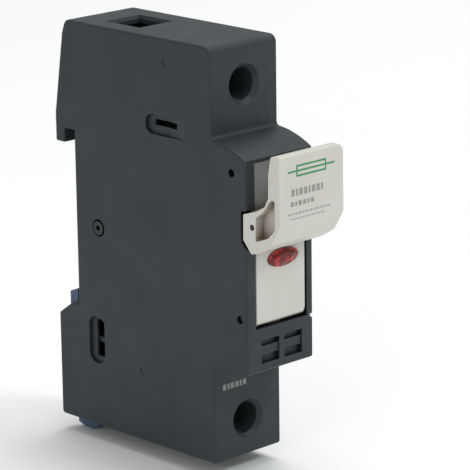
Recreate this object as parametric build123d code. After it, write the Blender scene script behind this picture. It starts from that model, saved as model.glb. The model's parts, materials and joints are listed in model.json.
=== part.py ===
"""One-pole fuse carrier for a 35 mm mounting rail, with its 10 x 38 mm cartridge fuse.

Millimetres. +X runs to the right side of the module, -Y out of its front, +Z up. The origin is the
centre of the mounting rail, on the plane where the rail's two lips rest against the housing.
"""
from build123d import *
from math import cos, pi, sin
import os

# ---- module ------------------------------------------------------------------------------------
module_width = 17.5
side_x = module_width / 2
cover_x = 7.1                      # joint face between the deep left half and the flat cover
wall = 1.4
left_wall_x = -side_x + 1.2        # inner face of the left wall behind the nose
nose_wall_x = -6.35                # inner face of the thicker left wall beside the carrier
edge_radius = 0.5

top_z = 39.2
bottom_z = -41.4
block_front_y = -38.5              # front of the two terminal blocks
foot_rear_y = 5.9
nose_front_y = -47.5
nose_bottom_z = -21.9
hood_lip_z = 19.25
hood_root_z = 21.9
vent_columns = ((-5.0, -0.3), (1.0, 5.7))
vent_rows = ((-16.85, -15.65), (-20.2, -18.6))
vent_depth = 0.95                  # the slots are blind, and end close to the inside
louvre_setback = 0.3               # the bar between the two rows stands behind the front
pin_hole_radius = 0.8
pin_hole_y = -43.9
pin_hole_z = 16.5
link_pocket_depth = 0.66
gate_mark_radius = 0.8
gate_mark_depth = 0.12
gate_marks = ((-26.4, 34.75), (-18.6, -27.2))
post_y = -6.25                     # the cover's post, seen in its hole in the left side
post_z = -0.9
post_radius = 1.4
post_bore = 0.55
post_hole_radius = 1.75
post_hole_y = -6.53
post_hole_z = -0.8

# ---- mounting rail -----------------------------------------------------------------------------
rail_half = 17.6                   # half of the 35 mm rail, with a little play
hook_tip_z = 14.7
hook_gap_y = 2.9
hook_rear_y = 5.45

# ---- tilting carrier ---------------------------------------------------------------------------
pivot_y = -45.7
pivot_z = -11.2
sweep_radius = 29.95               # the hood is hollowed to this radius about the pivot
carrier_left_x = -6.1
carrier_right_x = 6.85
carrier_face_y = -47.35
carrier_wall = 1.05
face_rear_y = carrier_face_y + carrier_wall
face_top_z = 9.6                   # the pale front ends here and the dark cradle goes on above it
face_corner_radius = 1.9
cradle_face_y = -47.2
rail_thickness = 0.9
rail_rear_y = -44.65
carrier_top_radius = 29.7
carrier_toe_radius = 1.95          # the lower end of the face turns inside this radius
trunnion_radius = 1.2
trunnion_end_x = 7.9
running_gap = 0.05
grip_left_x = -8.6
grip_right_x = 7.95
grip_top_z = 21.45
grip_pocket_depth = 2.2
lug_hole_radius = 0.6
lug_hole_y = -49.0
lug_hole_z = 7.1
opening_bottom_z = -13.35
notch_rear_y = -46.2
notch_top_z = 9.9
notch_foot_z = 3.9

# ---- indicator ---------------------------------------------------------------------------------
lens_x = 0.85
lens_z = -0.6
lens_width = 7.8
lens_height = 3.4
lens_step = 0.25                   # the oval rim stands this far out of the face
lens_facets = 12
lens_dome_front_y = -48.05
lens_base_share = 0.94             # size of the faceted dome's foot beside the oval
lens_table_share = 0.5             # and of the flat on its top
lens_gap = 0.06
board_x = -4.85
board_thickness = 0.5

# ---- cartridge fuse ----------------------------------------------------------------------------
fuse_x = 0.45
fuse_y = -41.0
fuse_length = 38.0
fuse_bottom_z = -20.8
cap_radius = 5.15
cap_length = 10.0
cap_wall = 0.25
cap_end = 0.6
tube_radius = 4.88
tube_bore = 3.6
element_width = 2.4
element_thickness = 0.2

# ---- contacts ----------------------------------------------------------------------------------
jaw_gap = 0.05
jaw_thickness = 0.5
bar_half_width = 3.2
bar_front_y = -15.8
bar_thickness = 1.0

# ---- terminals ---------------------------------------------------------------------------------
upper_screw_z = 31.0
lower_screw_z = -34.2
screw_radius = 2.4
screw_head_radius = 3.2
screw_head_front_y = -31.2
screw_head_height = 2.6
access_radius = 3.1
access_chamfer = 0.85
access_depth = 7.0
cage_half_width = 4.4
cage_half_height = 4.2
cage_front_y = -19.6
cage_rear_y = -4.8
cage_front_wall = 2.2
cage_side_wall = 0.8
cage_rear_wall = 1.2
entry_x = -0.3
entry_front_y = -15.2
entry_rear_y = -5.5
entry_half_width = 4.4
entry_inset = 0.35
entry_funnel_depth = 0.7
entry_wall = 1.5

# ---- rail latch --------------------------------------------------------------------------------
latch_half_width = 6.3
latch_front_y = 2.2
latch_rear_y = 5.15
latch_top_z = -15.35
latch_bottom_z = -44.2
latch_play = 0.2
tab_half_width = 5.6
tab_front_y = -1.5
spring_bottom_z = -35.0
spring_top_z = -25.0


# ---- helpers -----------------------------------------------------------------------------------
def block(x0, x1, y0, y1, z0, z1):
    """A box given by its lowest and highest corners."""
    size = (x1 - x0, y1 - y0, z1 - z0)
    return Pos(x0, y0, z0) * Box(*size, align=(Align.MIN, Align.MIN, Align.MIN))


def along_x(y, z, radius, x0, x1):
    """A cylinder whose axis runs along X."""
    plane = Plane.YZ.offset(x0)
    return extrude(plane * Pos(y, z) * Circle(radius), amount=x1 - x0)


def along_y(x, z, radius, y0, y1, end_radius=None):
    """A cylinder or a cone whose axis runs along Y."""
    middle = Pos(x, (y0 + y1) / 2, z) * Rot(-90, 0, 0)
    if end_radius is None:
        return middle * Cylinder(radius, y1 - y0)
    return middle * Cone(radius, end_radius, y1 - y0)


def along_z(x, y, radius, z0, z1):
    """A cylinder whose axis runs along Z."""
    return Pos(x, y, (z0 + z1) / 2) * Cylinder(radius, z1 - z0)


def outline(corners):
    """A face in the plane's own axes from (u, v, radius) corners, rounded where radius isn't 0."""
    face = make_face(Polyline([(u, v) for u, v, _ in corners], close=True))
    for u, v, radius in corners:
        if radius > 0:
            corner = face.vertices().sort_by_distance((u, v, 0))[0]
            face = fillet(corner, radius)
    return face


def side_prism(corners, x0, x1):
    """A prism along X with an outline of (y, z, radius) corners."""
    return extrude(Plane.YZ.offset(x0) * outline(corners), amount=x1 - x0)


def soften(solid, edges, radius):
    """Round the edges, or leave them sharp where the rounding has no room."""
    try:
        rounded = fillet(edges, radius)
    except Exception:
        return solid
    return rounded if rounded.is_valid else solid


def save(solid, node):
    export_step(solid, f"parts/{node}.step")


# ---- housing -----------------------------------------------------------------------------------
def housing_outline():
    """The module's side outline: two terminal blocks, the rail recess and the nose."""
    body = outline([
        (block_front_y, top_z, 1.6),
        (1.9, top_z, 1.6),
        (2.9, 36.4, 0),
        (hook_rear_y, 20.4, 0),
        (hook_rear_y, hook_tip_z, 0.4),
        (hook_gap_y, hook_tip_z, 0.3),
        (hook_gap_y, rail_half, 0),
        (0, rail_half, 0),
        (0, -rail_half, 0),
        (2.1, -rail_half, 0),
        (foot_rear_y, -20.3, 0.5),
        (foot_rear_y, bottom_z, 0.8),
        (block_front_y, bottom_z, 0.6),
    ])
    hood = ThreePointArc((nose_front_y, hood_lip_z), (-43.2, 21.1), (block_front_y, hood_root_z))
    rest = Polyline((block_front_y, hood_root_z), (block_front_y + 2, hood_root_z),
                    (block_front_y + 2, nose_bottom_z), (nose_front_y, nose_bottom_z),
                    (nose_front_y, hood_lip_z))
    face = body + make_face([hood, rest])
    for corner, radius in (((block_front_y, hood_root_z, 0), 0.8), ((nose_front_y, nose_bottom_z, 0), 0.5),
                           ((block_front_y, nose_bottom_z, 0), 0.5)):
        face = fillet(face.vertices().sort_by_distance(corner)[0], radius)
    return face


def notch(x0, x1):
    """Clears the carrier's arm from a side wall of the nose."""
    front = nose_front_y - 1.5
    return side_prism([(notch_rear_y, notch_top_z, 0.3), (front, notch_top_z, 0), (front, 0.9, 0),
                       (notch_rear_y, notch_foot_z, 0.3)], x0, x1)


def link_slots(x_out, x_in):
    """Shallow pockets with a through slot, which take the links between modules on one side."""
    inward = 1 if x_in > x_out else -1
    floor_x = x_out + inward * link_pocket_depth
    ramp = make_face(Polyline([(x_out - inward * 0.1, -20.8), (floor_x, -20.8), (floor_x, -26.5),
                               (x_out, -31.5), (x_out - inward * 0.1, -31.5)], close=True))
    upper = extrude(Plane.XY.offset(20.5) * ramp, amount=3.9)
    rear_round = side_prism([(-20.7, 20.5, 1.9), (-20.7, 24.4, 1.9), (-32, 24.4, 0), (-32, 20.5, 0)],
                            x_out - inward, x_in)
    lower = side_prism([(-3.1, -18.9, 2.0), (-7.6, -18.9, 2.0), (-7.6, -28.5, 2.0), (-3.1, -28.5, 2.0)],
                       x_out, floor_x)
    upper_slot = side_prism([(-29.2, 22.2, 0), (-29.2, 23.4, 0), (-22.8, 23.4, 0.4), (-22.8, 22.2, 0.4)],
                            x_out, x_in)
    lower_slot = side_prism([(-7.55, -19.6, 0.4), (-4.7, -19.6, 0.4), (-4.7, -27.2, 0.4),
                             (-7.55, -27.2, 0.4)], x_out, x_in)
    return (upper & rear_round) + lower + upper_slot + lower_slot


def screw_access(z):
    """The bore and its chamfer that let a driver reach a terminal screw."""
    front = block_front_y
    bore = along_y(0, z, access_radius, front - 0.1, front + access_depth + 0.1)
    mouth_radius = access_radius + access_chamfer
    mouth = along_y(0, z, mouth_radius, front - 0.001, front + access_chamfer, access_radius)
    return bore + mouth


def screw_tube(z):
    """The wall of the screw access inside the housing."""
    return along_y(0, z, access_radius + 1.1, block_front_y + 0.5, block_front_y + access_depth)


def wire_entry(face_z, inward):
    """A rectangular wire hole with a shallow funnel; inward is -1 at the top and +1 at the bottom."""
    x_half = entry_half_width - entry_inset
    y0 = entry_front_y + entry_inset
    y1 = entry_rear_y - entry_inset
    ends = (face_z, face_z + (entry_wall + 0.7) * inward)
    hole = block(entry_x - x_half, entry_x + x_half, y0, y1, min(ends), max(ends))
    middle_y = (y0 + y1) / 2
    mouth = Rectangle(2 * entry_half_width, entry_rear_y - entry_front_y)
    throat = Rectangle(2 * x_half, y1 - y0)
    funnel = loft([Pos(entry_x, middle_y, face_z) * mouth,
                   Pos(entry_x, middle_y, face_z + entry_funnel_depth * inward) * throat])
    return hole + funnel


def vent_slots():
    """Two columns of two louvred recesses in the front of the nose, below the carrier."""
    front = nose_front_y - 0.2
    back = nose_front_y + vent_depth
    bottom = vent_rows[-1][0]
    top = vent_rows[0][1]
    slots = []
    for x0, x1 in vent_columns:
        slots.append(block(x0, x1, front, nose_front_y + louvre_setback, bottom, top))
        for z0, z1 in vent_rows:
            slot = [(front, z0, 0), (front, z1, 0), (back, z1, 0), (back, z0 - 0.1, 0)]
            slots.append(side_prism(slot, x0, x1))
    return slots


def latch_channel():
    """The slideway of the rail latch, open at its top, bottom and rear."""
    wide = latch_half_width + latch_play
    narrow = latch_half_width - 1.4
    slide = block(-wide, wide, latch_front_y - latch_play, latch_rear_y + 0.1, bottom_z - 1, -17.0)
    window = block(-narrow - latch_play, narrow + latch_play, latch_rear_y - 0.5, foot_rear_y + 1,
                   bottom_z - 1, -17.0)
    return slide + window


def carrier_room():
    """The space in the nose that the carrier and its fuse turn in."""
    swept = along_x(pivot_y, pivot_z, sweep_radius, nose_wall_x, cover_x)
    front = swept & block(nose_wall_x, cover_x, nose_front_y - 1, -35, opening_bottom_z, 20)
    behind_vents = block(nose_wall_x, cover_x, -46.4, -35, -20.95, opening_bottom_z + 0.1)
    return front + behind_vents


def left_housing():
    outer = extrude(Plane.YZ.offset(-side_x) * housing_outline(), amount=cover_x + side_x)
    outline_edges = outer.edges().filter_by(GeomType.LINE).filter_by(
        lambda e: abs(e.center().X + side_x) < 0.01)
    outer = soften(outer, outline_edges, edge_radius)
    room = block(left_wall_x, cover_x, block_front_y + 1.6, -wall, bottom_z + 1.5, top_z - 1.5)
    body = outer - room - carrier_room()
    body -= notch(-side_x - 0.1, nose_wall_x + 0.1)

    for z in (upper_screw_z, lower_screw_z):
        body += screw_tube(z)
        body += block(left_wall_x - 0.1, -cage_half_width - 0.2, -31, -3, z - 1.5, z + 1.5)
    shelf_z = (20.6, -24.4)
    for z in shelf_z:
        bar_rear_y = bar_front_y + bar_thickness
        body += block(left_wall_x - 0.1, cover_x, block_front_y + 1.5, bar_front_y - 0.4, z, z + 1.0)
        body += block(left_wall_x - 0.1, cover_x, bar_rear_y + 0.4, -wall + 0.1, z, z + 1.0)
    for z in (upper_screw_z, lower_screw_z):
        body -= screw_access(z)
    body -= wire_entry(top_z, -1)
    body -= wire_entry(bottom_z, 1)
    body -= latch_channel()
    body += block(-2.0, 2.0, 1.5, latch_front_y + 1.6, spring_bottom_z - 1.2, spring_bottom_z)
    for slot in vent_slots():
        body -= slot
    body -= link_slots(-side_x, left_wall_x + 0.1)

    body -= along_x(pivot_y, pivot_z, trunnion_radius + running_gap, -trunnion_end_x - 0.1, 0)
    for y, z in ((pivot_y, pivot_z), (pin_hole_y, pin_hole_z)):
        body -= along_x(y, z, pin_hole_radius, -side_x - 0.1, nose_wall_x + 0.1)
    for y, z in gate_marks:
        body -= along_x(y, z, gate_mark_radius, -side_x - 0.1, -side_x + gate_mark_depth)
    body += along_x(post_y, post_z, post_hole_radius + 0.9, left_wall_x - 0.2, cover_x)
    return body - along_x(post_hole_y, post_hole_z, post_hole_radius, -side_x - 0.1, cover_x)


def right_cover():
    plate = extrude(Plane.YZ.offset(cover_x) * housing_outline(), amount=side_x - cover_x)
    outline_edges = plate.edges().filter_by(GeomType.LINE).filter_by(
        lambda e: abs(e.center().X - side_x) < 0.01)
    plate = soften(plate, outline_edges, edge_radius)
    plate -= notch(cover_x - 0.1, side_x + 0.1)
    plate -= block(cover_x + 0.8, side_x + 1, nose_front_y - 1, nose_front_y + 0.9, -14.1, -13.2)
    plate -= along_x(pivot_y, pivot_z, trunnion_radius + running_gap, cover_x - 0.1, trunnion_end_x + 0.1)
    plate -= link_slots(side_x, cover_x - 0.1)
    plate += along_x(post_y, post_z, post_radius, -side_x + 0.12, cover_x + 0.1)
    plate -= along_x(post_y, post_z, post_bore, -side_x, -side_x + 2.5)
    for z in (upper_screw_z, lower_screw_z):
        plate += block(cage_half_width + 0.2, cover_x + 0.1, -28, -3, z - 1.5, z + 1.5)
    return plate


# ---- tilting carrier ---------------------------------------------------------------------------
def grip_profile():
    """Side outline of the grip plate and the arm that joins it to the carrier's face."""
    return [
        (-53.3, 13.3, 0.8), (-53.35, 17.6, 0), (-54.0, 21.2, 0.3), (-56.2, grip_top_z, 0.5),
        (-56.3, 8.4, 2.6), (-53.9, 4.5, 2.2), (-50.3, 2.4, 1.0), (-48.8, 1.95, 0.6),
        (face_rear_y - 0.4, 4.35, 0.3), (face_rear_y - 0.45, 9.2, 0.2), (-50.1, 10.3, 1.5),
        (-52.3, 11.5, 1.2),
    ]


def grip_pocket(x0, x1):
    """The hollow in an end of the arm."""
    corners = [(-50.0, 9.1, 0.3), (-52.0, 10.6, 0.5), (-53.5, 12.6, 0.4), (-54.3, 13.2, 0.2),
               (-54.95, 12.9, 0.2), (-54.95, 7.5, 1.6), (-53.1, 5.75, 0.8), (-49.9, 4.5, 0.3)]
    return side_prism(corners, x0, x1)


def rounded_corner(x, z, radius, x_sign, z_sign, y0, y1):
    """What a corner at (x, z) loses when it is rounded; the signs point out of the corner."""
    x_in = x - x_sign * radius
    z_in = z - z_sign * radius
    x_out = x + x_sign * 0.5
    z_out = z + z_sign * 1.0
    corner = block(min(x_in, x_out), max(x_in, x_out), y0, y1, min(z_in, z_out), max(z_in, z_out))
    return corner - along_y(x_in, z_in, radius, y0, y1)


def carrier_front():
    """The pale front of the carrier: its face, the arm and the grip plate."""
    face = block(carrier_left_x, carrier_right_x, carrier_face_y, face_rear_y, pivot_z, face_top_z)
    toe = block(carrier_left_x, carrier_right_x, carrier_face_y, face_rear_y, pivot_z - 3, pivot_z)
    face += toe & along_x(pivot_y, pivot_z, carrier_toe_radius, carrier_left_x, carrier_right_x)
    face -= rounded_corner(carrier_right_x, pivot_z - carrier_toe_radius, face_corner_radius, 1, -1,
                           carrier_face_y - 1, face_rear_y + 1)
    upright_edges = face.edges().filter_by(Axis.Z).filter_by(
        lambda e: abs(e.center().Y - carrier_face_y) < 0.01)
    face = soften(face, upright_edges, 0.35)

    grip = side_prism(grip_profile(), grip_left_x, grip_right_x)
    grip -= grip_pocket(grip_left_x - 0.1, grip_left_x + grip_pocket_depth)
    grip -= grip_pocket(grip_right_x - grip_pocket_depth, grip_right_x + 0.1)
    grip -= along_x(lug_hole_y, lug_hole_z, lug_hole_radius, grip_left_x - 0.1, grip_right_x + 0.1)
    for x, radius, sign in ((grip_right_x, 1.9, 1), (grip_left_x, 0.6, -1)):
        grip -= rounded_corner(x, grip_top_z, radius, sign, 1, -58, -52)
    return face + grip - lens_solid(lens_gap)


def cradle_block():
    """The block that holds the ceramic middle of the fuse, open behind it."""
    corners = [(face_rear_y, 4.8, 0), (face_rear_y, -7.5, 0), (-38.6, -7.5, 1.0), (-38.6, 4.8, 1.0)]
    shape = side_prism(corners, carrier_left_x, carrier_right_x)
    return shape - along_z(fuse_x, fuse_y, tube_radius + 0.06, -9, 6)


def cradle_side(x0, x1):
    """An upright side plate of the cradle, widened at its foot round the trunnion."""
    plate = block(x0, x1, face_rear_y, rail_rear_y, -10.5, face_top_z + 8)
    foot = side_prism([(face_rear_y, -7.0, 0), (face_rear_y, -10.5, 0), (-44.0, -10.5, 0),
                       (-40.5, -7.0, 0)], x0, x1)
    boss = along_x(pivot_y, pivot_z, 1.55, x0, x1) & block(x0, x1, face_rear_y, -43, -14, -8)
    return plate + foot + boss


def fuse_cradle():
    """The dark part of the carrier: it holds the fuse and turns on two trunnions."""
    upper_face = block(carrier_left_x, carrier_right_x, cradle_face_y, face_rear_y + 0.1,
                       face_top_z + running_gap, 20)
    body = upper_face + cradle_block()
    body += cradle_side(carrier_left_x, carrier_left_x + rail_thickness)
    body += cradle_side(carrier_right_x - rail_thickness, carrier_right_x)
    body &= along_x(pivot_y, pivot_z, carrier_top_radius, carrier_left_x, carrier_right_x)
    body += along_x(pivot_y, pivot_z, trunnion_radius, -trunnion_end_x, carrier_left_x)
    body += along_x(pivot_y, pivot_z, trunnion_radius, carrier_right_x, trunnion_end_x)

    body -= lens_solid(lens_gap)
    board_room = block(board_x - 0.06, board_x + board_thickness + 0.06, face_rear_y - 0.02, -43.4, -11, 6)
    led_room = block(board_x, -3.3, face_rear_y - 0.02, -44.8, lens_z - 1.6, lens_z + 1.6)
    return body - board_room - led_room


# ---- blown-fuse indicator ----------------------------------------------------------------------
def lens_solid(gap=0.0):
    """The window's oval and its foot, which faces the lamp; gap makes the hole for it a little larger."""
    oval = Ellipse(lens_width / 2 + gap, lens_height / 2 + gap)
    front = carrier_face_y - (lens_step if gap == 0 else 1.0)
    window = extrude(lens_plane(front) * oval, amount=face_rear_y + 0.2 - front)
    foot = block(-3.2 - gap, -1.9 + gap, face_rear_y - 0.1 - gap, face_rear_y + 0.9 + gap,
                 lens_z - 1.1 - gap, lens_z + 1.1 + gap)
    return window + foot


def lens_plane(y):
    """The plane at y that the window's outlines are drawn on; it looks into the housing."""
    return Plane(origin=(lens_x, y, lens_z), x_dir=(1, 0, 0), z_dir=(0, 1, 0))


def lens_polygon(share):
    """The outline of one row of the dome's facets, as a share of the oval's size."""
    points = []
    for i in range(lens_facets):
        angle = 2 * pi * (i + 0.5) / lens_facets
        points.append((share * lens_width / 2 * cos(angle), share * lens_height / 2 * sin(angle)))
    return make_face(Polyline(points, close=True))


def indicator_lens():
    lens = lens_solid() - along_z(fuse_x, fuse_y, tube_radius + 0.3, -9, 6)
    foot_y = carrier_face_y - lens_step + 0.02
    dome = loft([lens_plane(foot_y) * lens_polygon(lens_base_share),
                 lens_plane(lens_dome_front_y) * lens_polygon(lens_table_share)], ruled=True)
    return lens + dome


def indicator_board():
    return block(board_x, board_x + board_thickness, -46.2, -43.5, -10.4, 13.2)


def indicator_led():
    x0 = board_x + board_thickness
    lamp = block(x0, x0 + 0.55, -46.15, -45.0, lens_z - 1.0, lens_z + 1.0)
    dome = Pos(x0 + 0.55, -45.58, lens_z) * Sphere(0.45)
    return lamp + dome


def indicator_resistors():
    x0 = board_x + board_thickness
    return [block(x0, x0 + 0.45, -45.9, -45.1, z, z + 2.0) for z in (6.2, 9.0)]


def indicator_spring(z_pad, direction):
    """A bent strip that rests on a fuse cap; direction is +1 upwards and -1 downwards."""
    x0 = board_x + board_thickness
    inner = [(x0, 0.0), (x0, 1.2), (-3.66, 2.6), (-3.66, 3.0), (-4.1, 3.9)]
    front = [(x, z_pad + direction * s) for x, s in inner]
    back = [(x + 0.2, z) for x, z in reversed(front)]
    strip = make_face(Polyline(front + back, close=True))
    plane = Plane(origin=(0, -44.45, 0), x_dir=(1, 0, 0), z_dir=(0, -1, 0))
    return extrude(plane * strip, amount=0.55)


# ---- cartridge fuse ----------------------------------------------------------------------------
def fuse_cap(z_end, direction):
    """A drawn cap; z_end is the fuse's end and direction points from there into the fuse."""
    z_mouth = z_end + direction * cap_length
    cap = along_z(fuse_x, fuse_y, cap_radius, min(z_end, z_mouth), max(z_end, z_mouth))
    end_rim = cap.edges().sort_by(lambda e: abs(e.center().Z - z_end))[0]
    cap = fillet(end_rim, 1.0)
    z_floor = z_end + direction * cap_end
    return cap - along_z(fuse_x, fuse_y, cap_radius - cap_wall, min(z_floor, z_mouth + direction),
                         max(z_floor, z_mouth + direction))


def fuse_tube():
    z0 = fuse_bottom_z + cap_end + 0.05
    z1 = fuse_bottom_z + fuse_length - cap_end - 0.05
    tube = along_z(fuse_x, fuse_y, tube_radius, z0, z1)
    tube = soften(tube, tube.edges().filter_by(GeomType.CIRCLE), 0.7)
    return tube - along_z(fuse_x, fuse_y, tube_bore, z0 - 1, z1 + 1)


def fuse_element(gap=0.0):
    """The strip between the caps, with narrow necks where it melts first."""
    half = element_width / 2 + gap
    thick = element_thickness / 2 + gap
    z0 = fuse_bottom_z + cap_end + 0.05
    z1 = fuse_bottom_z + fuse_length - cap_end - 0.05
    strip = block(fuse_x - half, fuse_x + half, fuse_y - thick, fuse_y + thick, z0, z1)
    if gap > 0:
        return strip
    middle = (z0 + z1) / 2
    for step in (-2, -1, 0, 1, 2):
        for side in (-1, 1):
            strip -= along_y(fuse_x + side * half, middle + step * 4.0, 0.75, fuse_y - 1, fuse_y + 1)
    return strip


def fuse_sand():
    z0 = fuse_bottom_z + cap_end + 0.3
    z1 = fuse_bottom_z + fuse_length - cap_end - 0.3
    return along_z(fuse_x, fuse_y, tube_bore - 0.05, z0, z1) - fuse_element(0.03)


# ---- contacts ----------------------------------------------------------------------------------
def jaws(z0, z1, tip_y, web_y):
    """A sheet-metal fork that grips a fuse cap from both sides, open to the front."""
    inner = cap_radius + jaw_gap
    fork = block(fuse_x - inner - jaw_thickness, fuse_x + inner + jaw_thickness, web_y, web_y + 0.6, z0, z1)
    for side in (-1, 1):
        x0 = fuse_x + side * inner
        x1 = fuse_x + side * (inner + jaw_thickness)
        flare = 0.35 * side
        corners = [(x0, web_y + 0.3), (x1, web_y + 0.3), (x1, tip_y + 1.2), (x1 + flare, tip_y),
                   (x0 + flare, tip_y), (x0, tip_y + 1.2)]
        blade = make_face(Polyline(corners, close=True))
        fork += extrude(Plane.XY.offset(z0) * blade, amount=z1 - z0)
    return fork


def upper_contact():
    bar_z = 8.9
    fork = jaws(9.0, 16.4, -44.2, -35.45)
    fork += block(-bar_half_width, bar_half_width, -35.2, bar_front_y + bar_thickness, bar_z, bar_z + 0.9)
    return fork + block(-bar_half_width, bar_half_width, bar_front_y, bar_front_y + bar_thickness,
                        bar_z, upper_screw_z + 4.6)


def lower_contact():
    bar_z = -19.8
    fork = jaws(bar_z, -13.9, -44.5, -31.3)
    fork += block(-bar_half_width, bar_half_width, -31.0, bar_front_y + bar_thickness, bar_z, bar_z + 0.9)
    return fork + block(-bar_half_width, bar_half_width, bar_front_y, bar_front_y + bar_thickness,
                        lower_screw_z - 4.6, bar_z + 0.9)


def jaw_spring(z0, z1, tip_y, web_y):
    """A steel U that backs the jaws."""
    inner = cap_radius + jaw_gap + jaw_thickness + 0.05
    outer = inner + 0.45
    shape = block(fuse_x - outer, fuse_x + outer, tip_y, web_y + 1.15, z0, z1)
    return shape - block(fuse_x - inner, fuse_x + inner, tip_y - 1, web_y + 0.65, z0 - 1, z1 + 1)


# ---- terminals ---------------------------------------------------------------------------------
def terminal_cage(z):
    cage = block(-cage_half_width, cage_half_width, cage_front_y, cage_rear_y,
                 z - cage_half_height, z + cage_half_height)
    upright_edges = cage.edges().filter_by(Axis.Z)
    cage = soften(cage, upright_edges, 0.7)
    inner_half = cage_half_width - cage_side_wall
    cage -= block(-inner_half, inner_half, cage_front_y + cage_front_wall, cage_rear_y - cage_rear_wall,
                  z - 9, z + 9)
    return cage - along_y(0, z, screw_radius + 0.1, cage_front_y - 1, cage_front_y + cage_front_wall + 1)


def terminal_screw(z):
    head_rear = screw_head_front_y + screw_head_height
    head = along_y(0, z, screw_head_radius, screw_head_front_y, head_rear)
    head = soften(head, head.edges().sort_by(Axis.Y)[0], 0.4)
    shank = along_y(0, z, screw_radius, head_rear - 0.1, bar_front_y - 0.15)
    shank = soften(shank, shank.edges().sort_by(Axis.Y)[-1], 0.5)
    recess = block(-2.3, 2.3, screw_head_front_y - 1, screw_head_front_y + 1.6, z - 0.5, z + 0.5)
    cross = block(-0.5, 0.5, screw_head_front_y - 1, screw_head_front_y + 1.6, z - 2.0, z + 2.0)
    return head + shank - recess - cross


# ---- rail latch --------------------------------------------------------------------------------
def din_clip():
    """The sliding latch: a jaw for the rail's lower lip, a window for its spring and a pull tab."""
    foot_z = bottom_z + 0.5
    tab_top_z = bottom_z - 0.2
    plate = side_prism([(2.9, latch_top_z, 0.2), (latch_rear_y, latch_top_z - 0.95, 0.4),
                        (latch_rear_y, foot_z, 0.8), (latch_front_y, foot_z, 0),
                        (latch_front_y, -19.5, 0), (2.9, -18.6, 0)], -latch_half_width, latch_half_width)
    tab = side_prism([(4.5, foot_z + 1, 0), (4.5, latch_bottom_z + 0.6, 0), (2.6, latch_bottom_z, 0.8),
                      (0.4, latch_bottom_z, 1.5), (tab_front_y, tab_top_z - 1.6, 0.5),
                      (tab_front_y, tab_top_z, 0.4), (latch_front_y, tab_top_z, 0),
                      (latch_front_y, foot_z + 1, 0)], -tab_half_width, tab_half_width)
    driver_slot = block(-2.3, 2.3, -0.6, 0.9, latch_bottom_z - 1, bottom_z)
    spring_window = block(-2.6, 2.6, latch_front_y - 1, latch_rear_y + 1, -39.7, spring_top_z)
    return plate + tab - driver_slot - spring_window


def clip_spring():
    """A flat spring folded to and fro between the housing's stop and the top of the clip's window."""
    rise = spring_top_z - spring_bottom_z
    folds = 5
    step = rise / folds
    reach = 2.0
    thickness = 0.35
    pieces = block(-reach, reach, 2.7, 4.7, spring_bottom_z + 0.02, spring_bottom_z + 0.02 + thickness)
    for i in range(folds):
        z0 = spring_bottom_z + 0.02 + i * step
        z1 = z0 + step - (thickness + 0.04 if i == folds - 1 else 0)
        x0, x1 = (-reach, reach) if i % 2 == 0 else (reach, -reach)
        corners = [(x0, z0), (x0, z0 + thickness), (x1, z1 + thickness), (x1, z1)]
        leaf = make_face(Polyline(corners, close=True))
        plane = Plane(origin=(0, 2.7, 0), x_dir=(1, 0, 0), z_dir=(0, -1, 0))
        pieces += extrude(plane * leaf, amount=-2.0)
    return pieces


# ---- write the nodes ---------------------------------------------------------------------------
os.makedirs("parts", exist_ok=True)
save(left_housing(), "left_housing")
save(right_cover(), "right_cover")
save(carrier_front(), "carrier_front")
save(fuse_cradle(), "fuse_cradle")
save(indicator_lens(), "indicator_lens")
save(indicator_board(), "indicator_board")
save(indicator_led(), "indicator_led")
save(Compound(children=indicator_resistors()), "indicator_resistors")
save(indicator_spring(12.8, -1), "indicator_spring_upper")
save(indicator_spring(-8.9, -1), "indicator_spring_lower")
save(fuse_tube(), "fuse_tube")
save(fuse_cap(fuse_bottom_z + fuse_length, -1), "fuse_cap_upper")
save(fuse_cap(fuse_bottom_z, 1), "fuse_cap_lower")
save(fuse_element(), "fuse_element")
save(fuse_sand(), "fuse_sand")
save(upper_contact(), "upper_contact")
save(lower_contact(), "lower_contact")
save(jaw_spring(11.0, 14.5, -42.0, -35.45), "upper_jaw_spring")
save(jaw_spring(-18.5, -15.2, -42.0, -31.3), "lower_jaw_spring")
save(terminal_cage(upper_screw_z), "upper_cage")
save(terminal_cage(lower_screw_z), "lower_cage")
save(terminal_screw(upper_screw_z), "upper_screw")
save(terminal_screw(lower_screw_z), "lower_screw")
save(din_clip(), "din_clip")
save(clip_spring(), "clip_spring")
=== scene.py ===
"""Looks of the rail-mounted fuse carrier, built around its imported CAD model.

Metres, +Z up, and -Y is the front.
"""
import json
import math

import bpy
from mathutils import Matrix, Vector


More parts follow.
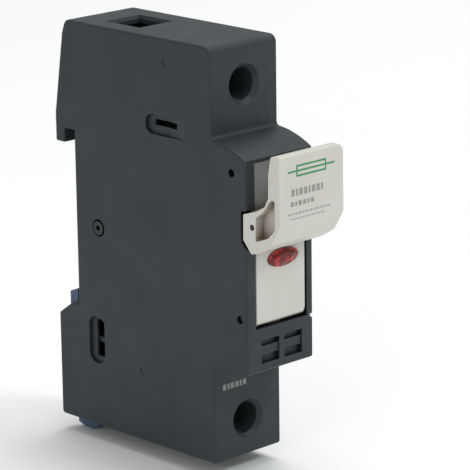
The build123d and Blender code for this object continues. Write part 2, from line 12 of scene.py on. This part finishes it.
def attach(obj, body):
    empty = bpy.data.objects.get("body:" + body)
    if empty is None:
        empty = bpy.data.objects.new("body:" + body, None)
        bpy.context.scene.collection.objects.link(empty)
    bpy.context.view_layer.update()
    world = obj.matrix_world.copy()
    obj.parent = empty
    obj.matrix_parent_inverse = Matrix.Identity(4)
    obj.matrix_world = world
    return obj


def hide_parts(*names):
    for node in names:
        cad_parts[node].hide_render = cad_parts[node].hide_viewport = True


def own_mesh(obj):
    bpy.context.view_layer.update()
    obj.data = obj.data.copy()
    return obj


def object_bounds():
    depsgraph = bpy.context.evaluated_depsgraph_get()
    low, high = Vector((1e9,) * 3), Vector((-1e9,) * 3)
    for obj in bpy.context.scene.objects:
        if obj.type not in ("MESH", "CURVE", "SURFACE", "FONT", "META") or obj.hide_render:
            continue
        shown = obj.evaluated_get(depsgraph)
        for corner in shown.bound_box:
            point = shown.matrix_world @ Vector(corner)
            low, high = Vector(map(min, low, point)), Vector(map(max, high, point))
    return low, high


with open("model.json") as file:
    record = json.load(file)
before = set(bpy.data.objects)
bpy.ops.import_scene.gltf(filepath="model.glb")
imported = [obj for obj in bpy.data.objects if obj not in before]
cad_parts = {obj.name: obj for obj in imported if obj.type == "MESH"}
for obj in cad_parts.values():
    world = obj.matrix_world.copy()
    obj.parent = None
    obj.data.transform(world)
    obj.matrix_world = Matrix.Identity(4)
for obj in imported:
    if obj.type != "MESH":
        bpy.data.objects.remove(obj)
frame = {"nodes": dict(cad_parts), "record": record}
cad_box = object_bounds()
nodes = frame["nodes"]
MM = 0.001


# ---- camera, floor and light -------------------------------------------------------------------
CAMERA_AZIMUTH = -43.92
CAMERA_ELEVATION = 15.30
CAMERA_ROLL = -0.77
CAMERA_DISTANCE = 0.56638
CAMERA_LENS = 220.0
CAMERA_SIDE_STEP = 0.02475
CAMERA_RISE = -0.00499
SENSOR_WIDTH = 36.0
CLIP = (0.01, 20.0)

FLOOR_GAP = 0.0003
FLOOR_HALF = 6.0
WORLD_COLOUR = (0.96, 0.98, 1.0, 1.0)
WORLD_STRENGTH = 0.50
LIGHTS = (("top", (0.35, 0.15, 1.5), 1.3, 14.5, (1.0, 0.99, 0.97)),
          ("key", (0.30, -0.70, 0.75), 0.30, 3.0, (0.93, 0.98, 1.0)),
          ("side", (-0.9, -0.35, 0.30), 0.5, 1.5, (0.97, 0.99, 1.0)))

# printed marks, millimetres: a row of dashes is (z0, z1, x0, x1, dashes, ink)
PRINT_THICKNESS = 0.012
PRINT_PROUD = 0.004
PLATE_TOP = (-56.2, 21.45)         # y and z of the grip plate's front at its top and foot
PLATE_FOOT = (-56.3, 8.4)
PLATE_ROWS = ((13.6, 14.9, -5.6, 2.6, 8, "grey"), (11.7, 12.6, -5.8, 0.2, 6, "grey"),
              (10.1, 10.5, -6.6, 4.4, 12, "faint"), (9.2, 9.5, -5.8, 2.7, 10, "faint"))
SYMBOL_BODY = (-4.3, 3.5, 17.1, 19.3)
SYMBOL_WIRE = (-6.5, 5.7)
SYMBOL_LINE = 0.36
BLOCK_FRONT_Y = -38.5
BLOCK_ROW = (-27.2, -26.1, -6.5, -0.4, 6, "pale")


def make_camera():
    a, e, r = (math.radians(v) for v in (CAMERA_AZIMUTH, CAMERA_ELEVATION, CAMERA_ROLL))
    back = Vector((math.sin(a) * math.cos(e), -math.cos(a) * math.cos(e), math.sin(e)))
    right = (-back).cross(Vector((0, 0, 1))).normalized()
    up = right.cross(-back)
    right, up = math.cos(r) * right + math.sin(r) * up, math.cos(r) * up - math.sin(r) * right
    data = bpy.data.cameras.new("camera")
    data.lens = CAMERA_LENS
    data.sensor_width = SENSOR_WIDTH
    data.clip_start, data.clip_end = CLIP
    camera = bpy.data.objects.new("camera", data)
    bpy.context.scene.collection.objects.link(camera)
    eye = right * CAMERA_SIDE_STEP + up * CAMERA_RISE + back * CAMERA_DISTANCE
    turn = Matrix((right, up, back)).transposed().to_4x4()
    camera.matrix_world = Matrix.Translation(eye) @ turn
    bpy.context.scene.camera = camera


def area_light(name, place, aim, size, power, colour):
    data = bpy.data.lights.new(name, "AREA")
    data.shape = "DISK"
    data.size = size
    data.energy = power
    data.color = colour
    light = bpy.data.objects.new(name, data)
    bpy.context.scene.collection.objects.link(light)
    light.location = place
    light.rotation_mode = "QUATERNION"
    light.rotation_quaternion = (Vector(aim) - Vector(place)).to_track_quat("-Z", "Y")


def make_stage():
    """A pale paper floor under a soft top light, with a weak key from the front right."""
    low, high = cad_box
    middle = (low + high) / 2
    floor_mesh = bpy.data.meshes.new("floor")
    z = low.z - FLOOR_GAP
    corners = [(x * FLOOR_HALF, y * FLOOR_HALF, z) for x, y in ((-1, -1), (1, -1), (1, 1), (-1, 1))]
    floor_mesh.from_pydata(corners, [], [(0, 1, 2, 3)])
    floor = bpy.data.objects.new("floor", floor_mesh)
    bpy.context.scene.collection.objects.link(floor)
    paper = Surface("floor_paper", Roughness=0.95)
    tone = paper.ramp(paper.noise(3, 3), 0.3, 0.7, 0, 1)
    paper.link(paper.mix(tone, (0.86, 0.86, 0.86), (0.9, 0.9, 0.9)), paper.shader.inputs["Base Color"])
    floor_mesh.materials.append(paper.material)

    world = bpy.data.worlds.new("studio")
    bpy.context.scene.world = world
    world.use_nodes = True
    background = world.node_tree.nodes["Background"]
    background.inputs["Color"].default_value = WORLD_COLOUR
    background.inputs["Strength"].default_value = WORLD_STRENGTH
    for name, step, size, power, colour in LIGHTS:
        area_light(name, middle + Vector(step), middle, size, power, colour)
    bpy.context.scene.view_settings.view_transform = "Standard"


# ---- materials ---------------------------------------------------------------------------------
# sockets of the colour Mix node, which share their names with those of its other kinds
MIX_FIRST, MIX_SECOND, MIX_RESULT = 6, 7, 2


class Surface:
    """A node material: a Principled shader with helpers for procedural detail in object space."""

    def __init__(self, name, **shader_values):
        self.material = bpy.data.materials.new(name)
        self.material.use_nodes = True
        self.tree = self.material.node_tree
        self.shader = self.tree.nodes["Principled BSDF"]
        for socket, value in shader_values.items():
            self.shader.inputs[socket.replace("_", " ")].default_value = value
        self.coords = self.tree.nodes.new("ShaderNodeTexCoord").outputs["Object"]

    def link(self, source, target):
        self.tree.links.new(source, target)

    def noise(self, scale, detail=4.0, roughness=0.6):
        node = self.tree.nodes.new("ShaderNodeTexNoise")
        node.inputs["Scale"].default_value = scale
        node.inputs["Detail"].default_value = detail
        node.inputs["Roughness"].default_value = roughness
        self.link(self.coords, node.inputs["Vector"])
        return node.outputs["Fac"]

    def cells(self, scale):
        node = self.tree.nodes.new("ShaderNodeTexVoronoi")
        node.inputs["Scale"].default_value = scale
        self.link(self.coords, node.inputs["Vector"])
        return node.outputs["Distance"]

    def ramp(self, value, low, high, out_low, out_high):
        node = self.tree.nodes.new("ShaderNodeMapRange")
        limits = {"From Min": low, "From Max": high, "To Min": out_low, "To Max": out_high}
        for socket, number in limits.items():
            node.inputs[socket].default_value = number
        self.link(value, node.inputs["Value"])
        return node.outputs["Result"]

    def mix(self, factor, first, second):
        node = self.tree.nodes.new("ShaderNodeMix")
        node.data_type = "RGBA"
        self.link(factor, node.inputs["Factor"])
        for value, socket in ((first, node.inputs[MIX_FIRST]), (second, node.inputs[MIX_SECOND])):
            if isinstance(value, bpy.types.NodeSocket):
                self.link(value, socket)
            else:
                socket.default_value = (*value, 1.0)
        return node.outputs[MIX_RESULT]

    def math(self, operation, first, second):
        node = self.tree.nodes.new("ShaderNodeMath")
        node.operation = operation
        for value, socket in ((first, node.inputs[0]), (second, node.inputs[1])):
            if isinstance(value, bpy.types.NodeSocket):
                self.link(value, socket)
            else:
                socket.default_value = value
        return node.outputs[0]

    def edges(self, radius=0.0006):
        """Where the surface turns a corner: 0 on flat ground and rising on edges."""
        bevel = self.tree.nodes.new("ShaderNodeBevel")
        bevel.samples = 4
        bevel.inputs["Radius"].default_value = radius
        geometry = self.tree.nodes.new("ShaderNodeNewGeometry")
        dot = self.tree.nodes.new("ShaderNodeVectorMath")
        dot.operation = "DOT_PRODUCT"
        self.link(bevel.outputs["Normal"], dot.inputs[0])
        self.link(geometry.outputs["True Normal"], dot.inputs[1])
        return self.ramp(dot.outputs["Value"], 0.97, 0.7, 0.0, 1.0)

    def cavities(self, reach, dark_at, clear_at):
        """Where the surface is shut in by its neighbours: 1 deep inside and 0 in the open."""
        occlusion = self.tree.nodes.new("ShaderNodeAmbientOcclusion")
        occlusion.samples = 8
        occlusion.inputs["Distance"].default_value = reach
        return self.ramp(occlusion.outputs["AO"], dark_at, clear_at, 1.0, 0.0)

    def bump(self, height, strength, distance):
        node = self.tree.nodes.new("ShaderNodeBump")
        node.inputs["Strength"].default_value = strength
        node.inputs["Distance"].default_value = distance
        self.link(height, node.inputs["Height"])
        self.link(node.outputs["Normal"], self.shader.inputs["Normal"])


def moulded(name, dark, light, worn, roughness, grain_scale, grain_depth, cavity_shade=None, **values):
    """Moulded thermoplastic: faint cloudy colour, spark-eroded grain, rubbed edges and painted shade in
    cavities.
    """
    s = Surface(name, **values)
    cloud = s.ramp(s.noise(90, 5), 0.35, 0.65, 0, 1)
    body = s.mix(cloud, dark, light)
    edge = s.math("MULTIPLY", s.edges(), s.ramp(s.noise(700, 3), 0.42, 0.6, 0.15, 0.6))
    body = s.mix(edge, body, worn)
    # painted shade: where ambient occlusion finds slots, pockets and vents, the colour is mixed towards a
    # dark shade colour
    if cavity_shade:
        body = s.mix(s.cavities(*cavity_shade[1:]), body, cavity_shade[0])
    s.link(body, s.shader.inputs["Base Color"])
    gloss = s.ramp(s.noise(260, 4), 0.3, 0.7, roughness - 0.05, roughness + 0.06)
    s.link(gloss, s.shader.inputs["Roughness"])
    s.bump(s.noise(grain_scale, 3, 0.7), 0.35, grain_depth)
    return s.material


def make_lens():
    """Ruby plastic with painted highlights and shade: brighter and darker red patches stand for glints of
    the prisms moulded inside.
    """
    s = Surface("lens_plastic", Specular_IOR_Level=0.35, Coat_Weight=0.15, Coat_Roughness=0.08)
    # painted highlights: Voronoi cells give brighter and darker red patches for the prisms' glints
    prism_glints = s.ramp(s.cells(820), 0.1, 0.55, 1, 0)
    body = s.mix(prism_glints, (0.13, 0.001, 0.001), (0.62, 0.022, 0.018))
    # painted shade: the lens darkens towards a very dark red in its rim and hollows by ambient occlusion
    body = s.mix(s.cavities(0.0008, 0.2, 0.8), body, (0.05, 0.010, 0.006))
    s.link(body, s.shader.inputs["Base Color"])
    s.link(s.ramp(s.noise(500, 3), 0.3, 0.7, 0.1, 0.2), s.shader.inputs["Roughness"])
    s.bump(s.noise(900, 2), 0.2, 0.000006)
    return s.material


def ink(name, colour):
    """Pad-printed ink: slightly broken cover and a satin finish."""
    s = Surface(name)
    r, g, b = colour
    s.link(s.mix(s.ramp(s.noise(900, 4), 0.4, 0.65, 0, 1), colour, (r * 1.15, g * 1.15, b * 1.15)),
           s.shader.inputs["Base Color"])
    s.link(s.ramp(s.noise(1500, 3), 0.3, 0.7, 0.45, 0.6), s.shader.inputs["Roughness"])
    s.bump(s.noise(4000, 2), 0.2, 0.000004)
    return s.material


def plate_front(z):
    """The y of the grip plate's front at height z, which leans a little."""
    share = (PLATE_TOP[1] - z) / (PLATE_TOP[1] - PLATE_FOOT[1])
    return PLATE_TOP[0] + (PLATE_FOOT[0] - PLATE_TOP[0]) * share


def block_front(z):
    return BLOCK_FRONT_Y


def print_mark(name, boxes, surface, material, body):
    """A set of thin printed boxes, (x0, x1, z0, z1), on a face that looks to -Y; surface(z) is its y."""
    vertices, faces = [], []
    for x0, x1, z0, z1 in boxes:
        n = len(vertices)
        for depth in (-PRINT_PROUD, PRINT_THICKNESS):
            for x, z in ((x0, z0), (x1, z0), (x1, z1), (x0, z1)):
                y = max((surface(z) + depth) * MM, cad_box[0].y)
                vertices.append((x * MM, y, z * MM))
        faces += [(n, n + 1, n + 2, n + 3), (n + 7, n + 6, n + 5, n + 4)]
        for i in range(4):
            j = (i + 1) % 4
            faces.append((n + i, n + 4 + i, n + 4 + j, n + j))
    mesh = bpy.data.meshes.new(name)
    mesh.from_pydata(vertices, [], faces)
    mesh.materials.append(material)
    mark = bpy.data.objects.new(name, mesh)
    bpy.context.scene.collection.objects.link(mark)
    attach(mark, body)


def dashes(z0, z1, x0, x1, count, gap_share=0.4):
    """A row of plain dashes, alternately long and short, that fills x0 to x1."""
    lengths = [1.0 if i % 3 != 1 else 0.6 for i in range(count)]
    step = (x1 - x0) / (sum(lengths) + gap_share * (count - 1))
    boxes, x = [], x0
    for length in lengths:
        boxes.append((x, x + length * step, z0, z1))
        x += (length + gap_share) * step
    return boxes


def make_prints():
    """A generic fuse symbol and rows of dashes where the rating plate is printed; no letters."""
    green = ink("ink_green", (0.035, 0.24, 0.09))
    tones = {"grey": ink("ink_grey", (0.27, 0.26, 0.24)), "faint": ink("ink_faint", (0.33, 0.32, 0.30)),
             "pale": ink("ink_pale", (0.22, 0.225, 0.23))}
    line = SYMBOL_LINE
    left, right, foot, head = SYMBOL_BODY
    wire_z = ((foot + head) / 2 - line / 2, (foot + head) / 2 + line / 2)
    symbol = [(left, right, foot, foot + line), (left, right, head - line, head),
              (left, left + line, foot + line, head - line), (right - line, right, foot + line, head - line),
              (left + line, right - line, *wire_z), (SYMBOL_WIRE[0], left, *wire_z),
              (right, SYMBOL_WIRE[1], *wire_z)]
    print_mark("print_symbol", symbol, plate_front, green, "carrier")
    for i, (z0, z1, x0, x1, count, tone) in enumerate(PLATE_ROWS):
        print_mark(f"print_row_{i}", dashes(z0, z1, x0, x1, count), plate_front, tones[tone], "carrier")
    z0, z1, x0, x1, count, tone = BLOCK_ROW
    print_mark("print_rating", dashes(z0, z1, x0, x1, count), block_front, tones[tone], "housing")


def metal(name, base, tint, roughness, streak=(1, 1, 1)):
    """Plated or rolled metal with fine streaks and a little tarnish."""
    s = Surface(name, Metallic=1.0)
    stretch = s.tree.nodes.new("ShaderNodeMapping")
    stretch.inputs["Scale"].default_value = streak
    s.link(s.coords, stretch.inputs["Vector"])
    s.coords = stretch.outputs["Vector"]
    tarnish = s.ramp(s.noise(160, 5), 0.35, 0.75, 0, 1)
    s.link(s.mix(tarnish, base, tint), s.shader.inputs["Base Color"])
    gloss = s.ramp(s.noise(1500, 3), 0.3, 0.7, roughness - 0.04, roughness + 0.06)
    s.link(gloss, s.shader.inputs["Roughness"])
    s.bump(s.noise(2500, 2), 0.12, 0.000004)
    return s.material


def make_materials():
    painted_shade_black = (0.002, 0.002, 0.003)
    # the last tuple of each plastic paints shade into its cavities: the shade colour, the occlusion reach,
    # and the occlusion at which the shade is full and at which it is gone
    housing = moulded("housing_plastic", (0.019, 0.026, 0.029), (0.024, 0.032, 0.035), (0.055, 0.065, 0.07),
                      0.50, 5200, 0.00003, (painted_shade_black, 0.0024, 0.22, 0.68), Specular_IOR_Level=0.36)
    cradle = moulded("cradle_plastic", (0.19, 0.20, 0.198), (0.23, 0.24, 0.235), (0.28, 0.29, 0.29),
                     0.38, 4200, 0.00002, (painted_shade_black, 0.003, 0.3, 0.6))
    # painted shade: the carrier's grip pocket and hollows darken towards a warm brown
    carrier = moulded("carrier_plastic", (0.585, 0.56, 0.50), (0.62, 0.60, 0.545), (0.70, 0.68, 0.63),
                      0.42, 4200, 0.00001, ((0.22, 0.17, 0.125), 0.0035, 0.25, 0.8), Subsurface_Weight=0.03)
    latch = moulded("latch_plastic", (0.030, 0.065, 0.13), (0.038, 0.078, 0.155), (0.12, 0.17, 0.26),
                    0.42, 4800, 0.00002, ((0.004, 0.008, 0.02), 0.002, 0.1, 0.5))
    lens = make_lens()
    board = moulded("board_laminate", (0.02, 0.13, 0.06), (0.03, 0.16, 0.08), (0.3, 0.3, 0.2), 0.35,
                    3000, 0.00001)
    led = moulded("led_epoxy", (0.6, 0.15, 0.1), (0.7, 0.2, 0.15), (0.8, 0.5, 0.4), 0.15, 900, 0.000005)
    resistor = moulded("resistor_glaze", (0.02, 0.02, 0.022), (0.035, 0.035, 0.035), (0.3, 0.3, 0.3), 0.3,
                       3000, 0.00001)
    ceramic = moulded("ceramic", (0.76, 0.74, 0.68), (0.82, 0.80, 0.75), (0.6, 0.57, 0.5), 0.45,
                      2500, 0.00002)
    sand = moulded("quartz_sand", (0.5, 0.46, 0.38), (0.8, 0.76, 0.66), (0.8, 0.76, 0.66), 0.8,
                   1800, 0.0002)
    caps = metal("nickel_caps", (0.62, 0.59, 0.54), (0.52, 0.48, 0.42), 0.28, (1, 1, 6))
    silver = metal("silver_strip", (0.8, 0.8, 0.78), (0.6, 0.58, 0.54), 0.3, (1, 1, 0.2))
    copper = metal("tinned_copper", (0.62, 0.60, 0.56), (0.60, 0.46, 0.36), 0.35, (1, 0.2, 1))
    spring = metal("spring_steel", (0.36, 0.36, 0.37), (0.28, 0.27, 0.27), 0.35, (1, 1, 0.3))
    zinc = metal("zinc_steel", (0.56, 0.57, 0.57), (0.5, 0.5, 0.46), 0.38)
    by_slot = {"housing": housing, "carrier": carrier, "cradle": cradle, "latch": latch, "lens": lens,
               "board": board, "led": led, "resistor": resistor, "ceramic": ceramic, "sand": sand,
               "cap_metal": caps, "silver": silver, "copper_tin": copper, "spring_steel": spring,
               "zinc_steel": zinc}
    for part in frame["record"]["subparts"]:
        mesh = nodes[part["node"]].data
        mesh.materials.clear()
        mesh.materials.append(by_slot[part["material_slot"]])


def make_latch_spring():
    """The latch's folded spring, copied from the CAD part into a mesh of its own and carried by the housing.
    """
    source = nodes["clip_spring"]
    spring = bpy.data.objects.new("latch_spring", source.data.copy())
    bpy.context.scene.collection.objects.link(spring)
    spring.matrix_world = source.matrix_world.copy()
    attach(spring, "housing")
    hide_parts("clip_spring")
    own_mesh(spring)


make_camera()
make_stage()
make_materials()
make_prints()
make_latch_spring()
